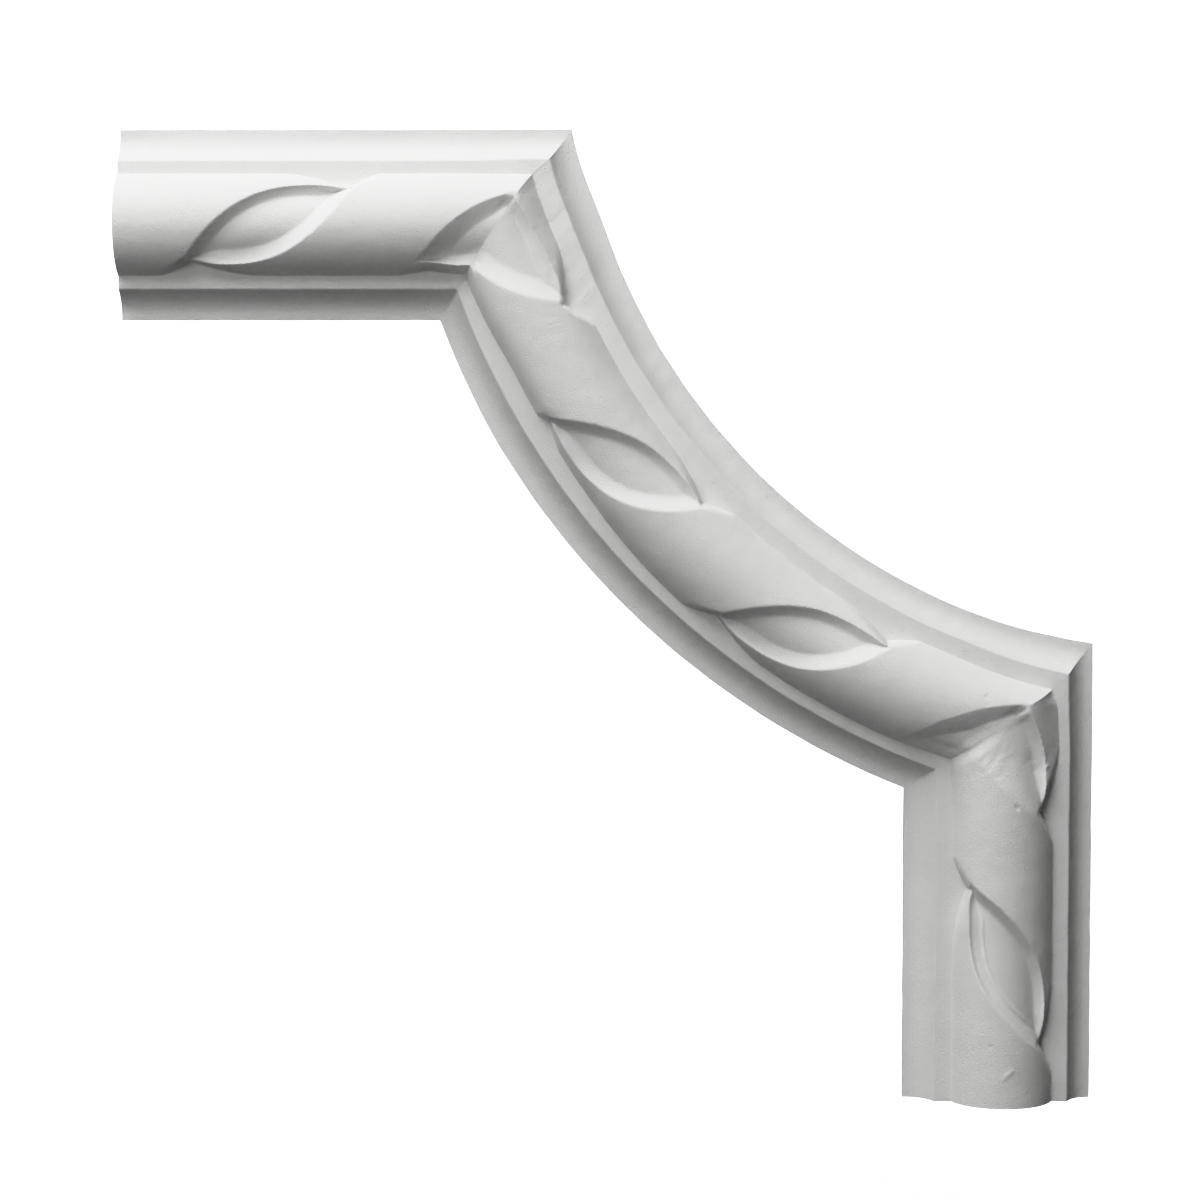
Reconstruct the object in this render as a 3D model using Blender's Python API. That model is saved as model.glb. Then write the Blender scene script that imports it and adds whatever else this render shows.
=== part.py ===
"""A cast plaster corner for a wall panel moulding.

Two straight members, one along the top and one down the right side, are joined by an inward
quarter curve. All three share one section: a low wall at each edge, a cove that climbs to a
flat fillet, and a half-round roll between the fillets. A broad ribbon is wound round the roll,
and slanted eyes between its wraps show the slimmer rod inside.

X is to the right and Z up, as the piece hangs on the wall. The flat back lies in y = 0 and the
face looks towards -Y. The origin is on the back, halfway across the curved member, on the
diagonal that the piece is laid out about.
"""

import math

import bmesh
import bpy

# Layout on the wall, in metres.
REACH = 0.300
WIDTH = 0.0585
ARC_RADIUS = 0.1945
ARC_SETBACK = 0.033

# Section, in metres. Heights are counted from the back.
WALL_HEIGHT = 0.003
INNER_COVE_WIDTH = 0.0092
COVE_RISE = 0.0063
COVE_FOOT_SLOPE = math.radians(7)
ROLL_HALF_WIDTH = 0.0156
ROLL_RISE = 0.011

# The ribbon and the rod that it is wound on, in metres. An eye's length is counted in halves
# from its middle, and its tips lie a little further out. The runs between which the roll gets
# slimmer or wider are counted along the member.
RIBBON_THICKNESS = 0.0031
ROD_HALF_WIDTH = 0.0118
EYE_HALF_LENGTH = 0.0225
EYE_TIP = 1.07
UPPER_EDGE_WALL = 0.0033
LOWER_EDGE_WALL = 0.0047
NOTCH_DEPTH = 0.0043
NOTCH_REACH = 0.0022
SLIMMING_REACH = 0.0060
CURVE_SLIMMING = 0.0023
CURVE_SLIMMING_GROWS = (-0.105, -0.070)
CURVE_SLIMMING_FADES = (-0.065, 0.010)
SIDE_WIDENING = 0.0018
SIDE_WIDENING_GROWS = (-0.090, -0.110)
SIDE_WIDENING_FADES = (-0.122, -0.1275)
EDGE_TOP = 0.0124
EDGE_TOP_PLACE = -0.6
EDGE_DIP = 0.005
EDGE_DIP_LENGTH = 0.4
EDGE_FALL = 0.00575
EDGE_FALL_POWER = 2.5
EDGE_TAIL_FALL = 0.0291
EDGE_TAIL_EASING = 0.022
EDGE_TAIL_LENGTH = 0.66
WALL_POWER = 1.25
MITRE_BLEND = 0.004
DRIFT_LENGTH = 0.025

# How far each mitre lies beyond where straight arm and circle would meet, at distances across
# the moulding, and the length of curve that is bent to suit.
UPPER_MITRE_SHIFT = (
    (0.0, -0.0025), (0.0092, -0.0015), (0.0137, -0.0030), (0.0210, -0.0025), (0.0585, 0.0008),
)
SIDE_MITRE_SHIFT = (
    (0.0, 0.0007), (0.0078, -0.0012), (0.0137, -0.0020), (0.0210, 0.0), (0.0585, -0.0003),
)
BENT_LENGTH = 0.040

# Fineness of the faces.
STATIONS_ON_ARM = 33
STATIONS_ON_CURVE = 64
COVE_STEPS = 3
ROLL_STEPS = 24
ROLL_SPACING_ANGLE = math.radians(68)

MIDDLE_RADIUS = ARC_RADIUS + WIDTH / 2
ARC_CENTRE = MIDDLE_RADIUS / math.sqrt(2)
CORNER = ARC_CENTRE - ARC_SETBACK
FAR_END = CORNER - REACH
DIAGONAL_ANGLE = math.radians(225)


class Eye:
    """One eye of the winding: where its middle is along a member, and how it differs.

    upper and lower are the scale and shift of the two wraps' edges. The spreads say how much
    wider the walls under them are at the inner and the outer tip, or None for a wrap that does
    not show. depth deepens the notches in the roll's sides, and fill is the share of the wraps'
    thickness that the eye keeps.
    """

    def __init__(
        self, middle, upper=(1, 0), lower=(1, 0), upper_spread=(1, 1), lower_spread=(1, 1),
        depth=1, fill=0,
    ):
        self.middle = middle
        self.upper = upper
        self.lower = lower
        self.upper_spread = upper_spread
        self.lower_spread = lower_spread
        self.depth = depth
        self.fill = fill


def smooth(share):
    """Eases from 0 to 1 with no slope at either end."""
    share = min(max(share, 0.0), 1.0)
    return share * share * (3 - 2 * share)


def ease(value, start, end):
    return smooth((value - start) / (end - start))


def cove_height(distance, width):
    """Height of the hollow at a distance in from the edge of the piece."""
    start = math.tan(COVE_FOOT_SLOPE) * width
    share = min(distance / width, 1.0)
    return WALL_HEIGHT + start * share + (COVE_RISE - start) * share**3.2


def round_height(offset, half_width, rise):
    """Height above the fillet of a round segment, at an offset from its middle."""
    if abs(offset) >= half_width:
        return 0.0
    radius = (half_width**2 + rise**2) / (2 * rise)
    return math.sqrt(radius**2 - offset**2) - (radius - rise)


def ribbon_height(offset, slimming, half_width):
    """Height of the ribbon where its side is slimmed, and notched in to a half-width."""
    inside = half_width - abs(offset)
    drawn_in = slimming * max(1 - inside / SLIMMING_REACH, 0.0) ** 2
    notched = ROLL_HALF_WIDTH - slimming - half_width
    drawn_in += notched * max(1 - inside / NOTCH_REACH, 0.0) ** 2
    return round_height(abs(offset) + drawn_in, ROLL_HALF_WIDTH, ROLL_RISE)


def rod_height(offset):
    return round_height(offset, ROD_HALF_WIDTH, ROLL_RISE - RIBBON_THICKNESS)


def edge_line(along):
    """Offset of the edge of the leading wrap, along an eye that runs from -1 to 1."""
    past_top = min(along, 1.0) - EDGE_TOP_PLACE
    if past_top < 0:
        return EDGE_TOP - EDGE_DIP * min(-past_top, EDGE_DIP_LENGTH) ** 2
    tail = min(max(along - 1, 0.0), EDGE_TAIL_LENGTH)
    fall = EDGE_FALL * past_top**EDGE_FALL_POWER + EDGE_TAIL_FALL * tail
    return EDGE_TOP - fall + EDGE_TAIL_EASING * tail**2


def edge_gap(offset, along, scale, shift):
    """Distance from a point to the leading wrap's edge, square to it, positive beyond it."""
    step = 0.01
    scale += (1 - scale) * smooth((along - 0.95) / 0.5)
    rise = (edge_line(along + step) - edge_line(along - step)) * scale
    gap = edge_line(along) * scale + shift - offset
    return gap / math.hypot(1, rise / (2 * step * EYE_HALF_LENGTH))


def wall(gap, width):
    """Share of a wrap's thickness left at a gap beyond its edge: crisp above, soft below."""
    return (1 - min(max(gap / width, 0.0), 1.0)) ** WALL_POWER


def wall_width(full_width, along, spread):
    """Width of a wrap's wall, narrow at its thin end, with its spreads at the two tips."""
    share = min(max((along / EYE_TIP + 1) / 2, 0.0), 1.0)
    taper = 0.4 + 0.6 * smooth((EYE_TIP + along) / 0.45)
    return full_width * taper * spread[0] ** (1 - share) * spread[1] ** share


def notch(along):
    """Share of the draw-in of the roll's side beside an eye's inner tip, deepest at the tip."""
    if along < -EYE_TIP:
        return min(max((along + 1.5) / (1.5 - EYE_TIP), 0.0), 1.0) ** 1.2
    return min(max((-along - 0.2) / (EYE_TIP - 0.2), 0.0), 1.0) ** 1.5


def nearest_eye(run, eyes):
    """The eye nearest to a run along a member, and the place along it."""
    eye = min(eyes, key=lambda eye: abs(run - eye.middle))
    return eye, (run - eye.middle) / EYE_HALF_LENGTH


def roll_side(member, run, side):
    """Slimming and half-width of the roll towards the outer edge, side -1, or the inner one, 1."""
    eye, along = nearest_eye(run, member.eyes)
    slimming = member.slimming(run, side)
    notched = NOTCH_DEPTH * eye.depth * notch(side * along)
    return slimming, ROLL_HALF_WIDTH - slimming - max(notched - max(slimming, 0.0), 0.0)


def roll_height(member, run, offset):
    """Height above the fillet at a run along a member.

    An eye lies between the edge of the wrap before it and that of the wrap after it. The two
    edges are the same curve, turned half round the middle of the eye.
    """
    eye, along = nearest_eye(run, member.eyes)
    slimming, half_width = roll_side(member, run, math.copysign(1, offset))
    if abs(offset) >= half_width:
        return 0.0
    upper_width = wall_width(UPPER_EDGE_WALL, -along, eye.upper_spread[::-1])
    shown = max(eye.fill, wall(edge_gap(-offset, -along, *eye.upper), upper_width))
    if eye.lower_spread:
        lower_width = wall_width(LOWER_EDGE_WALL, along, eye.lower_spread)
        shown = max(shown, wall(edge_gap(offset, along, *eye.lower), lower_width))
    rod = rod_height(offset)
    return rod + (ribbon_height(offset, slimming, half_width) - rod) * shown


def shift_at(across, shifts):
    """How far a mitre is shifted, at a distance across the moulding."""
    for (start, low), (end, high) in zip(shifts, shifts[1:]):
        if across <= end:
            return low + (high - low) * (across - start) / (end - start)
    return shifts[-1][1]


def mitre_run(across, shift):
    """Run from the square end of an arm to its mitre, at a distance across the moulding."""
    reach = math.sqrt((ARC_RADIUS + across) ** 2 - (ARC_SETBACK + across) ** 2)
    return REACH + ARC_SETBACK - reach + shift_at(across, shift)


def mitre_angle(across):
    """Angle from the diagonal to either mitre, at a distance across the moulding."""
    return math.pi / 4 - math.asin((ARC_SETBACK + across) / (ARC_RADIUS + across))


def place_on_curve(run, across):
    angle = DIAGONAL_ANGLE + run / MIDDLE_RADIUS
    radius = ARC_RADIUS + across
    limit = mitre_angle(across) * MIDDLE_RADIUS
    right = smooth(1 - (limit + run) / BENT_LENGTH) * shift_at(across, UPPER_MITRE_SHIFT)
    up = smooth(1 - (limit - run) / BENT_LENGTH) * shift_at(across, SIDE_MITRE_SHIFT)
    return (
        ARC_CENTRE + radius * math.cos(angle) + right,
        ARC_CENTRE + radius * math.sin(angle) + up,
    )


def no_slimming(run, side):
    return 0.0


def curve_slimming(run, side):
    """The curve's roll is slimmer towards the inner edge, between the upper mitre and halfway."""
    if side < 0:
        return 0.0
    faded = ease(run, *CURVE_SLIMMING_FADES)
    return CURVE_SLIMMING * ease(run, *CURVE_SLIMMING_GROWS) * (1 - faded)


def side_slimming(run, side):
    """The side arm's roll is wider towards the outer edge beside the mitre."""
    if side > 0:
        return 0.0
    faded = ease(run, *SIDE_WIDENING_FADES)
    return -SIDE_WIDENING * ease(run, *SIDE_WIDENING_GROWS) * (1 - faded)


class Member:
    """One of the three lengths: how it lies on the wall, where its eyes are, its own measures."""

    def __init__(self, stations, eyes, cove_width, roll_middle, slimming, run, place):
        self.stations = stations
        self.eyes = eyes
        self.cove_width = cove_width
        self.roll_middle = roll_middle
        self.slimming = slimming
        self.run = run
        self.place = place


TOP = Member(
    STATIONS_ON_ARM,
    (
        Eye(0.0465, upper=(1, -0.0008)),
        Eye(
            0.1187, upper=(0.87, -0.0005),
            upper_spread=(2.0, 1.0), lower_spread=(0.6, 1.4), depth=0.4,
        ),
    ),
    0.0099,
    0.0296,
    no_slimming,
    lambda share, across: share * mitre_run(across, UPPER_MITRE_SHIFT),
    lambda run, across: (FAR_END + run, CORNER - across),
)
CURVE = Member(
    STATIONS_ON_CURVE,
    (
        Eye(
            -0.1063, upper=(0.35, 0.0069), lower=(1.3, -0.0005),
            upper_spread=(0.9, 1.8), lower_spread=(1.4, 1.4), depth=1.25,
        ),
        Eye(-0.0288, upper=(1, -0.0006), lower=(1, -0.0008)),
        Eye(0.0456, upper=(1, -0.0018)),
        Eye(
            0.1165, upper=(0.69, 0),
            upper_spread=(3.8, 0.4), lower_spread=None, depth=0, fill=0.12,
        ),
    ),
    0.0088,
    0.0300,
    curve_slimming,
    lambda share, across: (2 * share - 1) * mitre_angle(across) * MIDDLE_RADIUS,
    place_on_curve,
)
SIDE = Member(
    STATIONS_ON_ARM,
    (
        Eye(-0.1145, upper_spread=(1.2, 1.2), lower_spread=(2.6, 2.6)),
        Eye(-0.0428, lower=(1, -0.0008)),
    ),
    0.0078,
    0.0284,
    side_slimming,
    lambda share, across: (share - 1) * mitre_run(across, SIDE_MITRE_SHIFT),
    lambda run, across: (CORNER - across, FAR_END - run),
)
MITRES = {(TOP, 1): (CURVE, 0), (CURVE, 0): (TOP, 1), (CURVE, 1): (SIDE, 0), (SIDE, 0): (CURVE, 1)}


def near_mitres(member, run, across, length):
    """Each mitre that a point is near: its end of the member, the member met, the nearness."""
    for end in (0, 1):
        if (member, end) in MITRES:
            nearness = smooth(1 - abs(run - member.run(end, across)) / length)
            if nearness > 0:
                yield end, MITRES[member, end], nearness


def own_measures(member, share):
    """Outer cove width and roll middle, eased to the mean of the two members at a mitre."""
    cove_width, roll_middle = member.cove_width, member.roll_middle
    run = member.run(share, WIDTH / 2)
    for _, (other, _), nearness in near_mitres(member, run, WIDTH / 2, DRIFT_LENGTH):
        cove_width += (other.cove_width - member.cove_width) / 2 * nearness
        roll_middle += (other.roll_middle - member.roll_middle) / 2 * nearness
    return cove_width, roll_middle


def blended_roll_height(member, share, across, roll_middle):
    """Roll height on a member, eased near a mitre to the mean of the two that meet there."""
    offset = across - roll_middle
    run = member.run(share, across)
    height = roll_height(member, run, offset)
    for end, (other, other_end), nearness in near_mitres(member, run, across, MITRE_BLEND):
        own = roll_height(member, member.run(end, across), offset)
        met = roll_height(other, other.run(other_end, across), offset)
        height += ((own + met) / 2 - height) * nearness
    return height


def roll_foot(member, share, side, roll_middle):
    """Distance across the moulding of the foot of the roll, on its outer or inner side."""
    half_width = ROLL_HALF_WIDTH
    for _ in range(5):
        half_width = roll_side(member, member.run(share, roll_middle + side * half_width), side)[1]
    return roll_middle + side * half_width


def section(member, share):
    """Closed ring of points round the moulding, starting on the back of the outer wall."""
    cove_width, roll_middle = own_measures(member, share)
    feet = [roll_foot(member, share, side, roll_middle) for side in (-1, 1)]
    rows = [cove_width * step / COVE_STEPS for step in range(COVE_STEPS + 1)]
    rows.append((cove_width + feet[0]) / 2)
    for step in range(ROLL_STEPS + 1):
        angle = (2 * step / ROLL_STEPS - 1) * ROLL_SPACING_ANGLE
        reach = feet[step * 2 > ROLL_STEPS] - roll_middle
        rows.append(roll_middle + abs(reach) * math.sin(angle) / math.sin(ROLL_SPACING_ANGLE))
    rows.append((WIDTH - INNER_COVE_WIDTH + feet[1]) / 2)
    rows += [WIDTH - INNER_COVE_WIDTH * (1 - step / COVE_STEPS) for step in range(COVE_STEPS + 1)]
    ring = []
    for across in rows:
        outer = cove_height(across, cove_width)
        inner = cove_height(WIDTH - across, INNER_COVE_WIDTH)
        height = min(outer, inner) + blended_roll_height(member, share, across, roll_middle)
        x, z = member.place(member.run(share, across), across)
        ring.append((x, -height, z))
    backs = [(x, 0.0, z) for x, _, z in (ring[0], ring[-1])]
    return [backs[0], *ring, backs[1]]


def all_sections():
    """Every section in turn, from the left end round to the lower end."""
    for member in (TOP, CURVE, SIDE):
        first = 0 if member is TOP else 1
        for station in range(first, member.stations + 1):
            yield section(member, station / member.stations)


def cast_mesh(name):
    """Draws one section along the whole piece, a length at a time, and closes both ends."""
    bm = bmesh.new()
    row = bm.verts.layers.int.new("row")
    edges = []
    for points in all_sections():
        if not edges:
            ring = [bm.verts.new(point) for point in points]
            for index, vert in enumerate(ring):
                vert[row] = index
            edges = bm.faces.new(ring).edges[:]
            continue
        drawn = bmesh.ops.extrude_edge_only(bm, edges=edges)["geom"]
        ring = [item for item in drawn if isinstance(item, bmesh.types.BMVert)]
        edges = [item for item in drawn if isinstance(item, bmesh.types.BMEdge) and item.is_boundary]
        for vert in ring:
            vert.co = points[vert[row]]
    bmesh.ops.contextual_create(bm, geom=edges)
    bmesh.ops.recalc_face_normals(bm, faces=bm.faces)
    bm.verts.layers.int.remove(row)
    mesh = bpy.data.meshes.new(name)
    bm.to_mesh(mesh)
    bm.free()
    return mesh


def plaster():
    material = bpy.data.materials.new("white_plaster")
    material.use_nodes = True
    shader = material.node_tree.nodes["Principled BSDF"]
    shader.inputs["Base Color"].default_value = (0.80, 0.80, 0.79, 1.0)
    shader.inputs["Roughness"].default_value = 0.75
    shader.inputs["Metallic"].default_value = 0.0
    return material


for old in list(bpy.data.objects):
    bpy.data.objects.remove(old, do_unlink=True)

mesh = cast_mesh("corner_moulding")
mesh.materials.append(plaster())
mesh.shade_smooth()
mesh.set_sharp_from_angle(angle=math.radians(35))
bpy.context.scene.collection.objects.link(bpy.data.objects.new("corner_moulding", mesh))
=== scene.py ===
import math

import bmesh
import bpy
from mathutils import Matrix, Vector, noise


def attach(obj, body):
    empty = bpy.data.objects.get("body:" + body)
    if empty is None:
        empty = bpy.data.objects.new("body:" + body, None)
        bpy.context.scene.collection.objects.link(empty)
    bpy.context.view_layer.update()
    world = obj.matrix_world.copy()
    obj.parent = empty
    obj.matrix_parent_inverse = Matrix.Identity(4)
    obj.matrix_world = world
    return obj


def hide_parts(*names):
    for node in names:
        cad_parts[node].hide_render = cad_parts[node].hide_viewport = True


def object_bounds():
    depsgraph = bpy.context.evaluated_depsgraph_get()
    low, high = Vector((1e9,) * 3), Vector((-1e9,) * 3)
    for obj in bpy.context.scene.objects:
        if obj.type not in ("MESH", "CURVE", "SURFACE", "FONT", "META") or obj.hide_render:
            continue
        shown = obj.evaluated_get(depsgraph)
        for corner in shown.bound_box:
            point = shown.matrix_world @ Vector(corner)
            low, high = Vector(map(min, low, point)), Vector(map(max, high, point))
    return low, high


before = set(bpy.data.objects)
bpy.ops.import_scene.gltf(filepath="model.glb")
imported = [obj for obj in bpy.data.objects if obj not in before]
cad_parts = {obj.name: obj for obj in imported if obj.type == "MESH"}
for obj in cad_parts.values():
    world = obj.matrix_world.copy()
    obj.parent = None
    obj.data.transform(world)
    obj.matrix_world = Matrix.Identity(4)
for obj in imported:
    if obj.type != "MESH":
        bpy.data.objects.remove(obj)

cad_low, cad_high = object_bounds()

# The view of the photograph: square on to the wall, a hand's breadth above the middle of the
# piece and looking slightly down, from nine tenths of a metre.
CAMERA_PLACE = (-0.0210, -0.900, 0.0305)
CAMERA_DOWN = math.radians(3.187)
CAMERA_LEFT = math.radians(0.413)
LENS = 87.1
SENSOR_WIDTH = 36.0
NEAREST_SEEN = 0.05
FURTHEST_SEEN = 60.0

camera_data = bpy.data.cameras.new("photo_camera")
camera_data.lens = LENS
camera_data.sensor_width = SENSOR_WIDTH
camera_data.clip_start = NEAREST_SEEN
camera_data.clip_end = FURTHEST_SEEN
camera = bpy.data.objects.new("photo_camera", camera_data)
camera.location = CAMERA_PLACE
camera.rotation_euler = (math.radians(90) - CAMERA_DOWN, 0.0, CAMERA_LEFT)
bpy.context.scene.collection.objects.link(camera)
bpy.context.scene.camera = camera

# Studio: a pale floor well below the piece, a round softbox high in front and to the left, a
# small weak one beside the camera, a broad light behind for the back, and a dim white
# surround. The camera's response flattens towards white, as a photograph's does.
FLOOR_DROP = 0.45
FLOOR_SIDE = 40.0
FLOOR_PAINT = (0.95, 0.95, 0.95, 1.0)
FLOOR_ROUGHNESS = 0.9
PURE_WHITE = (1.0, 1.0, 1.0, 1.0)
SURROUND_FILL = 0.05
SURROUND_SEEN = 4.0

bm = bmesh.new()
bmesh.ops.create_grid(bm, x_segments=1, y_segments=1, size=FLOOR_SIDE / 2)
bmesh.ops.translate(bm, verts=bm.verts, vec=(0.0, 0.0, cad_low.z - FLOOR_DROP))
floor_mesh = bpy.data.meshes.new("floor")
bm.to_mesh(floor_mesh)
bm.free()
floor_paint = bpy.data.materials.new("pale_floor")
floor_paint.use_nodes = True
floor_shader = floor_paint.node_tree.nodes["Principled BSDF"]
floor_shader.inputs["Base Color"].default_value = FLOOR_PAINT
floor_shader.inputs["Roughness"].default_value = FLOOR_ROUGHNESS
floor_shader.inputs["Specular IOR Level"].default_value = 0.0
floor_shader.inputs["Emission Color"].default_value = PURE_WHITE
floor_shader.inputs["Emission Strength"].default_value = SURROUND_SEEN
floor_mesh.materials.append(floor_paint)
floor = bpy.data.objects.new("floor", floor_mesh)
floor.visible_diffuse = False
floor.visible_glossy = False
bpy.context.scene.collection.objects.link(floor)

SOFTBOXES = {
    # Name: the way towards it, its distance and diameter in metres, and its power in watts.
    "key": ((-0.299, -0.398, 0.868), 1.2, 1.25, 21.3),
    "front_fill": ((-0.407, -0.883, 0.235), 1.2, 0.55, 2.85),
    "back_fill": ((0.55, 0.80, 0.24), 1.6, 1.20, 12.0),
}
for name, (towards, distance, diameter, power) in SOFTBOXES.items():
    light_data = bpy.data.lights.new(name, "AREA")
    light_data.shape = "DISK"
    light_data.size = diameter
    light_data.energy = power
    light = bpy.data.objects.new(name, light_data)
    light.location = Vector(towards).normalized() * distance
    light.rotation_mode = "QUATERNION"
    light.rotation_quaternion = Vector(towards).to_track_quat("Z", "Y")
    light.visible_camera = False
    bpy.context.scene.collection.objects.link(light)

world = bpy.data.worlds.new("white_surround")
world.use_nodes = True
links = world.node_tree.links
nodes = world.node_tree.nodes
fill = nodes["Background"]
fill.inputs["Color"].default_value = PURE_WHITE
fill.inputs["Strength"].default_value = SURROUND_FILL
seen = nodes.new("ShaderNodeBackground")
seen.inputs["Color"].default_value = PURE_WHITE
seen.inputs["Strength"].default_value = SURROUND_SEEN
pick = nodes.new("ShaderNodeMixShader")
links.new(nodes.new("ShaderNodeLightPath").outputs["Is Camera Ray"], pick.inputs["Fac"])
links.new(fill.outputs["Background"], pick.inputs[1])
links.new(seen.outputs["Background"], pick.inputs[2])
links.new(pick.outputs["Shader"], nodes["World Output"].inputs["Surface"])
bpy.context.scene.world = world

RESPONSE = (
    # Light reaching the camera, and how bright it shows.
    (0.0, 0.0), (0.55, 0.55), (0.70, 0.678), (0.90, 0.793),
    (1.20, 0.894), (1.60, 0.956), (2.50, 0.994), (4.00, 1.0),
)
view_settings = bpy.context.scene.view_settings
view_settings.view_transform = "Standard"
view_settings.use_curve_mapping = True
response = view_settings.curve_mapping
response.clip_max_x = RESPONSE[-1][0]
all_colours = response.curves[3]
shades = all_colours.points
shades[0].location = RESPONSE[0]
shades[1].location = RESPONSE[-1]
for point in RESPONSE[1:-1]:
    shades.new(*point)
response.update()

# The corner itself: one casting in white plaster, poured face down in a flexible mould and
# bedded on the wall with adhesive. Two straight arms and an inward quarter curve share one
# section, and a broad ribbon is wound round the half-round roll down its middle.
REACH = 0.300
WIDTH = 0.0585
ARC_RADIUS = 0.1945
ARC_SETBACK = 0.033
WALL_HEIGHT = 0.003
INNER_COVE_WIDTH = 0.0092
COVE_RISE = 0.0063
COVE_FOOT_SLOPE = math.radians(7)
COVE_POWER = 3.2
ARRIS_ROUNDING = 0.0008
ROLL_HALF_WIDTH = 0.0156
ROLL_RISE = 0.011
RIBBON_THICKNESS = 0.0031
ROD_HALF_WIDTH = 0.0118
EYE_HALF_LENGTH = 0.0225
EYE_TIP = 1.07
UPPER_EDGE_WALL = 0.0033
LOWER_EDGE_WALL = 0.0047
NOTCH_DEPTH = 0.0043
NOTCH_REACH = 0.0022
NOTCH_START = -1.5
NOTCH_START_POWER = 1.2
NOTCH_END = -0.2
NOTCH_END_POWER = 1.5
SLIMMING_REACH = 0.0060
CURVE_SLIMMING = 0.0023
CURVE_SLIMMING_GROWS = (-0.105, -0.070)
CURVE_SLIMMING_FADES = (-0.065, 0.010)
SIDE_WIDENING = 0.0018
SIDE_WIDENING_GROWS = (-0.090, -0.110)
SIDE_WIDENING_FADES = (-0.122, -0.1275)
EDGE_TOP = 0.0124
EDGE_TOP_PLACE = -0.6
EDGE_DIP = 0.005
EDGE_DIP_LENGTH = 0.4
EDGE_FALL = 0.00575
EDGE_FALL_POWER = 2.5
EDGE_TAIL_FALL = 0.0291
EDGE_TAIL_EASING = 0.022
EDGE_TAIL_LENGTH = 0.66
EDGE_SLOPE_STEP = 0.01
EDGE_EVENS_OUT = (0.95, 1.45)
WALL_POWER = 1.25
WALL_AT_THIN_END = 0.4
WALL_TAPER_LENGTH = 0.45
FILL_GROWS = (0.003, 0.012)
BEAD_RISE = 0.00055
BEAD_HALF_WIDTH = 0.0008
BEAD_FADE = 0.5
MITRE_BLEND = 0.004
DRIFT_LENGTH = 0.025

# How far each mitre lies beyond where straight arm and circle would meet, at distances across
# the moulding, and the length of curve that is bent to suit.
UPPER_MITRE_SHIFT = (
    (0.0, -0.0025), (0.0092, -0.0015), (0.0137, -0.0030), (0.0210, -0.0025), (0.0585, 0.0008),
)
SIDE_MITRE_SHIFT = (
    (0.0, 0.0007), (0.0078, -0.0012), (0.0137, -0.0020), (0.0210, 0.0), (0.0585, -0.0003),
)
BENT_LENGTH = 0.040

# Fineness of the mesh.
STATIONS_ON_ARM = 220
STATIONS_ON_CURVE = 450
COVE_STEPS = 7
ARRIS_ROWS = (-0.0004, -0.0002, 0.0, 0.0002, 0.0005)
ROLL_STEPS = 76
ROLL_SPACING_ANGLE = math.radians(66)
FOOT_ROUNDS = 5
SHARP_ANGLE = math.radians(40)

# Unevenness of hand-modelled work: slow swells and finer dimples, rougher patches beside the
# mitres, where the modeller's tool was lifted, and edges that stray inwards.
SWELL_SIZE = 0.020
SWELL_DEPTH = 0.00035
SWELL_LAYER = 0.3
DIMPLE_SIZE = 0.0045
DIMPLE_DEPTH = 0.00012
DIMPLE_LAYER = 1.3
ROUGH_SIZE = 0.0019
ROUGH_DEPTH = 0.00045
ROUGH_LAYER = 2.3
ROUGH_PATCHES = (
    # Middle in x and z, and reach.
    (-0.0471, 0.1068, 0.0090), (-0.0431, 0.0952, 0.0090), (-0.0400, 0.0805, 0.0080),
    (0.0925, -0.0680, 0.0110), (0.1060, -0.0700, 0.0070),
)
FLAWS = (
    # Middle in x and z, half-length, half-width, lean in degrees, and rise.
    (-0.0641, 0.0839, 0.0008, 0.0008, 0, -0.0005),
    (0.0922, -0.1556, 0.0009, 0.0009, 0, -0.0004),
    (0.0998, -0.0818, 0.0018, 0.0008, -60, -0.0005),
    (0.0973, -0.1643, 0.0036, 0.0010, 43, 0.0004),
    (0.1096, -0.0698, 0.0010, 0.0009, 0, 0.0005),
    (-0.0354, 0.0686, 0.0024, 0.0010, -45, -0.0006),
    (0.0903, -0.0480, 0.0008, 0.0008, 0, -0.0004),
    (0.1135, -0.1480, 0.0010, 0.0010, 0, -0.0003),
    (-0.0950, 0.1150, 0.0009, 0.0008, 0, -0.0003),
)
EDGE_STRAY = 0.0003
EDGE_STRAY_LENGTH = 0.007
EDGE_STRAY_LAYER = 3.3
OUTER_STRAY_LINE = 0.5
INNER_STRAY_LINE = 7.5
EDGE_KEPT = 0.003

MIDDLE_RADIUS = ARC_RADIUS + WIDTH / 2
ARC_CENTRE = MIDDLE_RADIUS / math.sqrt(2)
CORNER = ARC_CENTRE - ARC_SETBACK
FAR_END = CORNER - REACH
DIAGONAL_ANGLE = math.radians(225)


class Eye:
    """One eye of the winding: where its middle is along a member, and how it differs.

    upper and lower are the scale and shift of the two wraps' edges. The spreads say how much
    wider the walls under them are at the inner and the outer tip, or None for a wrap that does
    not show. depth deepens the notches in the roll's sides, and fill gives the shares of the
    wraps' thickness that the eye keeps at the crown and at the inner foot. Beads are fine ridges
    that the modelling tool left along the lower wall, at shares of its width.
    """

    def __init__(
        self, middle, upper=(1, 0), lower=(1, 0), upper_spread=(1, 1), lower_spread=(1, 1),
        depth=1, fill=(0, 0), beads=(),
    ):
        self.middle = middle
        self.upper = upper
        self.lower = lower
        self.upper_spread = upper_spread
        self.lower_spread = lower_spread
        self.depth = depth
        self.fill = fill
        self.beads = beads


def smooth(share):
    """Eases from 0 to 1 with no slope at either end."""
    share = min(max(share, 0.0), 1.0)
    return share * share * (3 - 2 * share)


def ease(value, start, end):
    return smooth((value - start) / (end - start))


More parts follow.
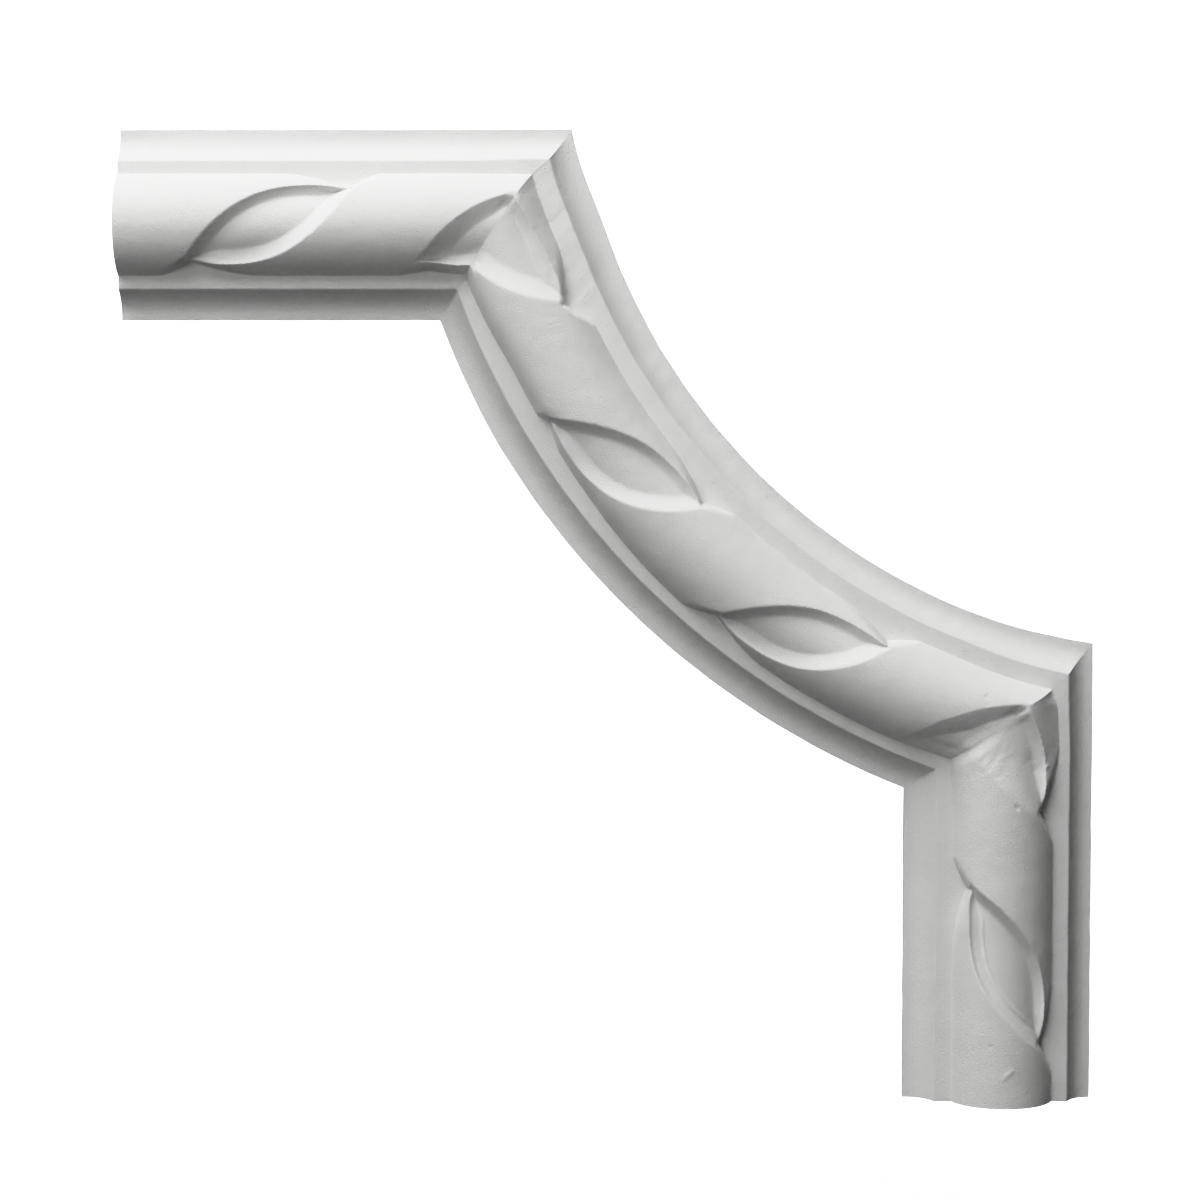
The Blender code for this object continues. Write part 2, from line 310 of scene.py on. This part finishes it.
def cove_height(distance, width):
    """Height of the hollow and the fillet past it, at a distance in from the piece's edge."""
    start = math.tan(COVE_FOOT_SLOPE) * width
    share = distance / width
    hollow = start * share + (COVE_RISE - start) * share**COVE_POWER
    near_arris = max(ARRIS_ROUNDING - abs(hollow - COVE_RISE), 0.0)
    return WALL_HEIGHT + min(hollow, COVE_RISE) - near_arris**2 / (4 * ARRIS_ROUNDING)


def round_height(offset, half_width, rise):
    """Height above the fillet of a round segment, at an offset from its middle."""
    if abs(offset) >= half_width:
        return 0.0
    radius = (half_width**2 + rise**2) / (2 * rise)
    return math.sqrt(radius**2 - offset**2) - (radius - rise)


def ribbon_height(offset, slimming, half_width):
    """Height of the ribbon where its side is slimmed, and notched in to a half-width."""
    inside = half_width - abs(offset)
    drawn_in = slimming * max(1 - inside / SLIMMING_REACH, 0.0) ** 2
    notched = ROLL_HALF_WIDTH - slimming - half_width
    drawn_in += notched * max(1 - inside / NOTCH_REACH, 0.0) ** 2
    return round_height(abs(offset) + drawn_in, ROLL_HALF_WIDTH, ROLL_RISE)


def rod_height(offset):
    return round_height(offset, ROD_HALF_WIDTH, ROLL_RISE - RIBBON_THICKNESS)


def edge_line(along):
    """Offset of the edge of the leading wrap, along an eye that runs from -1 to 1."""
    past_top = min(along, 1.0) - EDGE_TOP_PLACE
    if past_top < 0:
        return EDGE_TOP - EDGE_DIP * min(-past_top, EDGE_DIP_LENGTH) ** 2
    tail = min(max(along - 1, 0.0), EDGE_TAIL_LENGTH)
    fall = EDGE_FALL * past_top**EDGE_FALL_POWER + EDGE_TAIL_FALL * tail
    return EDGE_TOP - fall + EDGE_TAIL_EASING * tail**2


def edge_gap(offset, along, scale, shift):
    """Distance from a point to the leading wrap's edge, square to it, positive beyond it."""
    scale += (1 - scale) * ease(along, *EDGE_EVENS_OUT)
    rise = (edge_line(along + EDGE_SLOPE_STEP) - edge_line(along - EDGE_SLOPE_STEP)) * scale
    gap = edge_line(along) * scale + shift - offset
    return gap / math.hypot(1, rise / (2 * EDGE_SLOPE_STEP * EYE_HALF_LENGTH))


def wall(gap, width):
    """Share of a wrap's thickness left at a gap beyond its edge: crisp above, soft below."""
    return (1 - min(max(gap / width, 0.0), 1.0)) ** WALL_POWER


def wall_width(full_width, along, spread):
    """Width of a wrap's wall, narrow at its thin end, with its spreads at the two tips."""
    share = min(max((along / EYE_TIP + 1) / 2, 0.0), 1.0)
    taper = WALL_AT_THIN_END + (1 - WALL_AT_THIN_END) * smooth((EYE_TIP + along) / WALL_TAPER_LENGTH)
    return full_width * taper * spread[0] ** (1 - share) * spread[1] ** share


def notch(along):
    """Share of the draw-in of the roll's side beside an eye's inner tip, deepest at the tip."""
    if along < -EYE_TIP:
        risen = (along - NOTCH_START) / (-EYE_TIP - NOTCH_START)
        return min(max(risen, 0.0), 1.0) ** NOTCH_START_POWER
    left = (NOTCH_END - along) / (NOTCH_END + EYE_TIP)
    return min(max(left, 0.0), 1.0) ** NOTCH_END_POWER


def nearest_eye(run, eyes):
    """The eye nearest to a run along a member, and the place along it."""
    eye = min(eyes, key=lambda eye: abs(run - eye.middle))
    return eye, (run - eye.middle) / EYE_HALF_LENGTH


def roll_side(member, run, side):
    """Slimming and half-width of the roll towards the outer edge, side -1, or the inner one, 1."""
    eye, along = nearest_eye(run, member.eyes)
    slimming = member.slimming(run, side)
    notched = NOTCH_DEPTH * eye.depth * notch(side * along)
    return slimming, ROLL_HALF_WIDTH - slimming - max(notched - max(slimming, 0.0), 0.0)


def roll_height(member, run, offset):
    """Height above the fillet at a run along a member.

    An eye lies between the edge of the wrap before it and that of the wrap after it. The two
    edges are the same curve, turned half round the middle of the eye.
    """
    eye, along = nearest_eye(run, member.eyes)
    slimming, half_width = roll_side(member, run, math.copysign(1, offset))
    if abs(offset) >= half_width:
        return 0.0
    upper_width = wall_width(UPPER_EDGE_WALL, -along, eye.upper_spread[::-1])
    fill = eye.fill[0] + (eye.fill[1] - eye.fill[0]) * ease(offset, *FILL_GROWS)
    shown = max(fill, wall(edge_gap(-offset, -along, *eye.upper), upper_width))
    bead = 0.0
    if eye.lower_spread:
        gap = edge_gap(offset, along, *eye.lower)
        lower_width = wall_width(LOWER_EDGE_WALL, along, eye.lower_spread)
        shown = max(shown, wall(gap, lower_width))
        for share in eye.beads:
            bead += smooth(1 - abs(gap - share * lower_width) / BEAD_HALF_WIDTH)
    bead *= BEAD_RISE * smooth((EYE_TIP - abs(along)) / BEAD_FADE)
    rod = rod_height(offset)
    return rod + (ribbon_height(offset, slimming, half_width) - rod) * shown + bead


def shift_at(across, shifts):
    """How far a mitre is shifted, at a distance across the moulding."""
    for (start, low), (end, high) in zip(shifts, shifts[1:]):
        if across <= end:
            return low + (high - low) * (across - start) / (end - start)
    return shifts[-1][1]


def mitre_run(across, shift):
    """Run from the square end of an arm to its mitre, at a distance across the moulding."""
    reach = math.sqrt((ARC_RADIUS + across) ** 2 - (ARC_SETBACK + across) ** 2)
    return REACH + ARC_SETBACK - reach + shift_at(across, shift)


def mitre_angle(across):
    """Angle from the diagonal to either mitre, at a distance across the moulding."""
    return math.pi / 4 - math.asin((ARC_SETBACK + across) / (ARC_RADIUS + across))


def place_on_curve(run, across):
    angle = DIAGONAL_ANGLE + run / MIDDLE_RADIUS
    radius = ARC_RADIUS + across
    limit = mitre_angle(across) * MIDDLE_RADIUS
    right = smooth(1 - (limit + run) / BENT_LENGTH) * shift_at(across, UPPER_MITRE_SHIFT)
    up = smooth(1 - (limit - run) / BENT_LENGTH) * shift_at(across, SIDE_MITRE_SHIFT)
    return (
        ARC_CENTRE + radius * math.cos(angle) + right,
        ARC_CENTRE + radius * math.sin(angle) + up,
    )


def no_slimming(run, side):
    return 0.0


def curve_slimming(run, side):
    """The curve's roll is slimmer towards the inner edge, between the upper mitre and halfway."""
    if side < 0:
        return 0.0
    faded = ease(run, *CURVE_SLIMMING_FADES)
    return CURVE_SLIMMING * ease(run, *CURVE_SLIMMING_GROWS) * (1 - faded)


def side_slimming(run, side):
    """The side arm's roll is wider towards the outer edge beside the mitre."""
    if side > 0:
        return 0.0
    faded = ease(run, *SIDE_WIDENING_FADES)
    return -SIDE_WIDENING * ease(run, *SIDE_WIDENING_GROWS) * (1 - faded)


class Member:
    """One of the three lengths: how it lies on the wall, where its eyes are, its own measures."""

    def __init__(self, stations, eyes, cove_width, roll_middle, slimming, run, place):
        self.stations = stations
        self.eyes = eyes
        self.cove_width = cove_width
        self.roll_middle = roll_middle
        self.slimming = slimming
        self.run = run
        self.place = place


TOP = Member(
    STATIONS_ON_ARM,
    (
        Eye(0.0465, upper=(1, -0.0008)),
        Eye(
            0.1187, upper=(0.87, -0.0005),
            upper_spread=(2.0, 1.0), lower_spread=(0.6, 1.4), depth=0.4,
        ),
    ),
    cove_width=0.0099,
    roll_middle=0.0296,
    slimming=no_slimming,
    run=lambda share, across: share * mitre_run(across, UPPER_MITRE_SHIFT),
    place=lambda run, across: (FAR_END + run, CORNER - across),
)
CURVE = Member(
    STATIONS_ON_CURVE,
    (
        Eye(
            -0.1063, upper=(0.35, 0.0069), lower=(1.3, -0.0005),
            upper_spread=(0.9, 1.8), lower_spread=(1.4, 1.4), depth=1.25,
        ),
        Eye(-0.0288, upper=(1, -0.0006), lower=(1, -0.0008)),
        Eye(0.0456, upper=(1, -0.0018)),
        Eye(
            0.1165, upper=(0.69, 0),
            upper_spread=(3.8, 0.4), lower_spread=None, depth=0, fill=(0.12, 0.65),
        ),
    ),
    cove_width=0.0088,
    roll_middle=0.0300,
    slimming=curve_slimming,
    run=lambda share, across: (2 * share - 1) * mitre_angle(across) * MIDDLE_RADIUS,
    place=place_on_curve,
)
SIDE = Member(
    STATIONS_ON_ARM,
    (
        Eye(-0.1145, upper_spread=(1.2, 1.2), lower_spread=(2.6, 2.6)),
        Eye(-0.0428, lower=(1, -0.0008), beads=(0.15, 1.0)),
    ),
    cove_width=0.0078,
    roll_middle=0.0284,
    slimming=side_slimming,
    run=lambda share, across: (share - 1) * mitre_run(across, SIDE_MITRE_SHIFT),
    place=lambda run, across: (CORNER - across, FAR_END - run),
)
MITRES = {(TOP, 1): (CURVE, 0), (CURVE, 0): (TOP, 1), (CURVE, 1): (SIDE, 0), (SIDE, 0): (CURVE, 1)}


def near_mitres(member, run, across, length):
    """Each mitre that a point is near: its end of the member, the member met, the nearness."""
    for end in (0, 1):
        if (member, end) in MITRES:
            nearness = smooth(1 - abs(run - member.run(end, across)) / length)
            if nearness > 0:
                yield end, MITRES[member, end], nearness


def own_measures(member, share):
    """Outer cove width and roll middle, eased to the mean of the two members at a mitre."""
    cove_width, roll_middle = member.cove_width, member.roll_middle
    run = member.run(share, WIDTH / 2)
    for _, (other, _), nearness in near_mitres(member, run, WIDTH / 2, DRIFT_LENGTH):
        cove_width += (other.cove_width - member.cove_width) / 2 * nearness
        roll_middle += (other.roll_middle - member.roll_middle) / 2 * nearness
    return cove_width, roll_middle


def blended_roll_height(member, share, across, roll_middle):
    """Roll height on a member, eased near a mitre to the mean of the two that meet there."""
    offset = across - roll_middle
    run = member.run(share, across)
    height = roll_height(member, run, offset)
    for end, (other, other_end), nearness in near_mitres(member, run, across, MITRE_BLEND):
        own = roll_height(member, member.run(end, across), offset)
        met = roll_height(other, other.run(other_end, across), offset)
        height += ((own + met) / 2 - height) * nearness
    return height


def roll_foot(member, share, side, roll_middle):
    """Distance across the moulding of the foot of the roll, on its outer or inner side."""
    half_width = ROLL_HALF_WIDTH
    for _ in range(FOOT_ROUNDS):
        half_width = roll_side(member, member.run(share, roll_middle + side * half_width), side)[1]
    return roll_middle + side * half_width


def hollowed(x, z, depth, size, layer):
    """Depth that one layer of unevenness takes off at a place on the wall."""
    return depth * (1 - noise.noise(Vector((x / size, z / size, layer)))) / 2


def unevenness(x, z):
    """Depth that the hand-made surface lacks at a place on the wall."""
    depth = hollowed(x, z, SWELL_DEPTH, SWELL_SIZE, SWELL_LAYER)
    depth += hollowed(x, z, DIMPLE_DEPTH, DIMPLE_SIZE, DIMPLE_LAYER)
    for patch_x, patch_z, reach in ROUGH_PATCHES:
        nearness = smooth(1 - math.hypot(x - patch_x, z - patch_z) / reach)
        if nearness > 0:
            depth += nearness * hollowed(x, z, ROUGH_DEPTH, ROUGH_SIZE, ROUGH_LAYER)
    for flaw_x, flaw_z, half_length, half_width, lean, rise in FLAWS:
        direction = math.cos(math.radians(lean)), math.sin(math.radians(lean))
        along = (x - flaw_x) * direction[0] + (z - flaw_z) * direction[1]
        aside = (z - flaw_z) * direction[0] - (x - flaw_x) * direction[1]
        depth -= rise * smooth(1 - math.hypot(along / half_length, aside / half_width))
    return depth


def edge_stray(run, line):
    """How far one edge strays inwards at a run along a member."""
    place = Vector((run / EDGE_STRAY_LENGTH, line, EDGE_STRAY_LAYER))
    return EDGE_STRAY * (1 + noise.noise(place)) / 2


def stray(run, across):
    """How far the carving strays across the moulding, never outwards at an edge."""
    outer = edge_stray(run, OUTER_STRAY_LINE)
    inner = edge_stray(run, INNER_STRAY_LINE)
    return outer * (1 - across / WIDTH) - inner * across / WIDTH


def section(member, share):
    """Closed ring of points round the moulding, starting on the back of the outer wall."""
    cove_width, roll_middle = own_measures(member, share)
    feet = [roll_foot(member, share, side, roll_middle) for side in (-1, 1)]
    rows = [cove_width * step / COVE_STEPS for step in range(COVE_STEPS)]
    rows += [cove_width + step for step in ARRIS_ROWS]
    for step in range(ROLL_STEPS + 1):
        angle = (2 * step / ROLL_STEPS - 1) * ROLL_SPACING_ANGLE
        reach = feet[step * 2 > ROLL_STEPS] - roll_middle
        rows.append(roll_middle + abs(reach) * math.sin(angle) / math.sin(ROLL_SPACING_ANGLE))
    rows += [WIDTH - INNER_COVE_WIDTH - step for step in reversed(ARRIS_ROWS)]
    rows += [WIDTH - INNER_COVE_WIDTH * step / COVE_STEPS for step in reversed(range(COVE_STEPS))]
    ring = []
    for across in rows:
        outer = cove_height(across, cove_width)
        inner = cove_height(WIDTH - across, INNER_COVE_WIDTH)
        height = min(outer, inner) + blended_roll_height(member, share, across, roll_middle)
        run = member.run(share, across)
        x, z = member.place(run, across + stray(run, across))
        height -= unevenness(x, z) * smooth(min(across, WIDTH - across) / EDGE_KEPT)
        height = min(height, WALL_HEIGHT + COVE_RISE + ROLL_RISE)
        ring.append((x, -height, z))
    backs = [(x, 0.0, z) for x, _, z in (ring[0], ring[-1])]
    return [backs[0], *ring, backs[1]]


def all_sections():
    """Every section in turn, from the left end round to the lower end."""
    for member in (TOP, CURVE, SIDE):
        first = 0 if member is TOP else 1
        for station in range(first, member.stations + 1):
            yield section(member, station / member.stations)


bm = bmesh.new()
row = bm.verts.layers.int.new("row")
edges = []
for points in all_sections():
    if not edges:
        ring = [bm.verts.new(point) for point in points]
        for index, vert in enumerate(ring):
            vert[row] = index
        edges = bm.faces.new(ring).edges[:]
        continue
    drawn = bmesh.ops.extrude_edge_only(bm, edges=edges)["geom"]
    ring = [item for item in drawn if isinstance(item, bmesh.types.BMVert)]
    edges = [item for item in drawn if isinstance(item, bmesh.types.BMEdge) and item.is_boundary]
    for vert in ring:
        vert.co = points[vert[row]]
bmesh.ops.contextual_create(bm, geom=edges)
bmesh.ops.recalc_face_normals(bm, faces=bm.faces)
bm.verts.layers.int.remove(row)
casting_mesh = bpy.data.meshes.new("corner_casting")
bm.to_mesh(casting_mesh)
bm.free()
casting_mesh.shade_smooth()
casting_mesh.set_sharp_from_angle(angle=SHARP_ANGLE)

PLASTER_WHITE = (0.810, 0.808, 0.800, 1.0)
PLASTER_DULL = (0.785, 0.783, 0.772, 1.0)
PLASTER_GLOSS = 0.4
# Scale, detail and roughness of each noise.
MOTTLE = (55.0, 5.0, 0.6)
SMEARS = (240.0, 4.0, 0.5)
GRAIN = (1900.0, 3.0, 0.6)
PIT_SCALE = 520.0
PIT_REACH = 0.16
GRAIN_BUMP = 0.00019
SMEAR_BUMP = 0.00015
PIT_BUMP = 0.00016
SMEAR_RANGE = (0.3, 0.7)
ROUGHNESS_RANGE = (0.66, 0.84)

plaster = bpy.data.materials.new("white_plaster")
plaster.use_nodes = True
nodes = plaster.node_tree.nodes
links = plaster.node_tree.links
shader = nodes["Principled BSDF"]
shader.inputs["Specular IOR Level"].default_value = PLASTER_GLOSS
place = nodes.new("ShaderNodeTexCoord").outputs["Object"]


def noise_at(scale, detail, roughness):
    """Output of a noise that lies still on the piece."""
    texture = nodes.new("ShaderNodeTexNoise")
    texture.inputs["Scale"].default_value = scale
    texture.inputs["Detail"].default_value = detail
    texture.inputs["Roughness"].default_value = roughness
    links.new(place, texture.inputs["Vector"])
    return texture.outputs["Fac"]


def bumped(height, distance, under=None):
    """One layer of bump, laid over the layer under it."""
    bump = nodes.new("ShaderNodeBump")
    bump.inputs["Distance"].default_value = distance
    links.new(height, bump.inputs["Height"])
    if under:
        links.new(under, bump.inputs["Normal"])
    return bump.outputs["Normal"]


mottle = noise_at(*MOTTLE)
tint = nodes.new("ShaderNodeMix")
tint.data_type = "RGBA"
tint.inputs["A"].default_value = PLASTER_DULL
tint.inputs["B"].default_value = PLASTER_WHITE
links.new(mottle, tint.inputs["Factor"])
links.new(tint.outputs["Result"], shader.inputs["Base Color"])

sheen = nodes.new("ShaderNodeMapRange")
sheen.inputs["From Min"].default_value = SMEAR_RANGE[0]
sheen.inputs["From Max"].default_value = SMEAR_RANGE[1]
sheen.inputs["To Min"].default_value = ROUGHNESS_RANGE[0]
sheen.inputs["To Max"].default_value = ROUGHNESS_RANGE[1]
links.new(noise_at(*SMEARS), sheen.inputs["Value"])
links.new(sheen.outputs["Result"], shader.inputs["Roughness"])

cells = nodes.new("ShaderNodeTexVoronoi")
cells.inputs["Scale"].default_value = PIT_SCALE
links.new(place, cells.inputs["Vector"])
pits = nodes.new("ShaderNodeMapRange")
pits.interpolation_type = "SMOOTHSTEP"
pits.inputs["From Max"].default_value = PIT_REACH
links.new(cells.outputs["Distance"], pits.inputs["Value"])

grainy = bumped(noise_at(*GRAIN), GRAIN_BUMP)
smeared = bumped(noise_at(*SMEARS), SMEAR_BUMP, grainy)
links.new(bumped(pits.outputs["Result"], PIT_BUMP, smeared), shader.inputs["Normal"])
casting_mesh.materials.append(plaster)

casting = bpy.data.objects.new("corner_casting", casting_mesh)
bpy.context.scene.collection.objects.link(casting)
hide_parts("corner_moulding")
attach(casting, "root")
